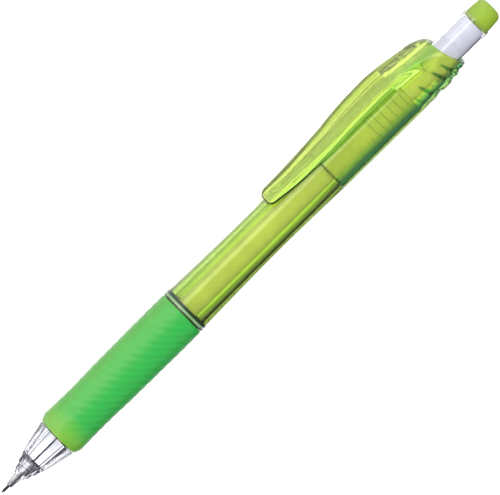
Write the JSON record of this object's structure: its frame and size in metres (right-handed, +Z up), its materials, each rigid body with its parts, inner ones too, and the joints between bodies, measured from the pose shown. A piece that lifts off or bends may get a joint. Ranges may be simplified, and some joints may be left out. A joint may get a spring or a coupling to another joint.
{
  "type": "lead holder",
  "caption": "Push-button lead holder with a clear fluted nose, ridged rubber grip, waisted translucent barrel, pocket clip and plug-in eraser.",
  "frame": {"origin": "centre of the footprint on the surface the pencil lies on", "axes": "+X along the pencil towards the writing tip, +Z up, the clip hangs to the -Y side and touches the surface"},
  "size_m": [0.146, 0.014, 0.0112],
  "materials": {
    "graphite": "dark graphite",
    "bright_steel": "bright turned steel",
    "retainer_rubber": "black rubber",
    "clear_plastic": "clear, fluted",
    "brass": "turned brass",
    "spring_steel": "drawn wire",
    "white_plastic": "white",
    "frosted_tube": "frosted lavender grey",
    "eraser_rubber": "matt lime green",
    "lime_plastic": "translucent lime green",
    "grip_rubber": "matt bright green, slanted ridges"
  },
  "bodies": {
    "holder": {"barrel": "lime_plastic", "grip": "grip_rubber", "rear_cap": "lime_plastic", "clutch_seat": "brass", "return_spring": "spring_steel"},
    "push_unit": {"lead_tube": "frosted_tube", "push_button": "clear_plastic", "chuck_holder": "white_plastic", "chuck_tail": "brass", "spare_lead_1": "graphite", "spare_lead_2": "graphite", "spare_lead_3": "graphite"},
    "jaw_1": {"chuck_jaw_1": "brass"},
    "jaw_2": {"chuck_jaw_2": "brass"},
    "jaw_3": {"chuck_jaw_3": "brass"},
    "feed": {"clutch_ring": "brass", "lead_in_use": "graphite"},
    "eraser": {"eraser": "eraser_rubber"},
    "nose_carriage": {"lead_sleeve": "bright_steel", "lead_retainer": "retainer_rubber"},
    "nose": {"nose_cone": "clear_plastic"},
    "clip_arm": {"clip": "lime_plastic"}
  },
  "joints": [
    {"name": "push", "type": "slide", "parent": "holder", "child": "push_unit", "axis": [1, 0, 0], "range_m": [0, 0.004], "stiffness_N_per_m": 900, "deforming": ["return_spring"]},
    {"name": "lead_feed", "type": "slide", "parent": "holder", "child": "feed", "axis": [1, 0, 0], "range_m": [0, 0.0007]},
    {"name": "jaw_1_open", "type": "hinge", "parent": "push_unit", "child": "jaw_1", "pos_m": [0.0492, 0.00068, 0.00543], "axis": [0, 0.2487, -0.9686], "range_deg": [0, 4.01]},
    {"name": "jaw_2_open", "type": "hinge", "parent": "push_unit", "child": "jaw_2", "pos_m": [0.0492, 0.00161, 0.00633], "axis": [0, -0.9632, 0.2689], "range_deg": [0, 4.01]},
    {"name": "jaw_3_open", "type": "hinge", "parent": "push_unit", "child": "jaw_3", "pos_m": [0.0492, 0.00193, 0.00508], "axis": [0, 0.7145, 0.6997], "range_deg": [0, 4.01]},
    {"name": "eraser_pull", "type": "slide", "parent": "push_unit", "child": "eraser", "axis": [-1, 0, 0], "range_m": [0, 0.01]},
    {"name": "nose_advance", "type": "slide", "parent": "holder", "child": "nose_carriage", "axis": [1, 0, 0], "range_m": [0, 0.0048]},
    {"name": "nose_turn", "type": "hinge", "parent": "nose_carriage", "child": "nose", "pos_m": [0.06, 0.00141, 0.00561], "axis": [1, 0, 0], "range_deg": [0, 2160]},
    {"name": "clip_flex", "type": "hinge", "parent": "holder", "child": "clip_arm", "pos_m": [-0.046, -0.00537, 0.00387], "axis": [0, 0.2487, -0.9686], "range_deg": [0, 4], "stiffness_Nm_per_rad": 1.3}
  ],
  "couplings": [
    {"joint": "lead_feed", "follows": "push", "ratio": 0.175},
    {"joint": "jaw_1_open", "follows": "push", "rad_per_m": 17.453},
    {"joint": "jaw_2_open", "follows": "push", "rad_per_m": 17.453},
    {"joint": "jaw_3_open", "follows": "push", "rad_per_m": 17.453},
    {"joint": "nose_advance", "follows": "nose_turn", "m_per_rad": 0.00012731}
  ]
}
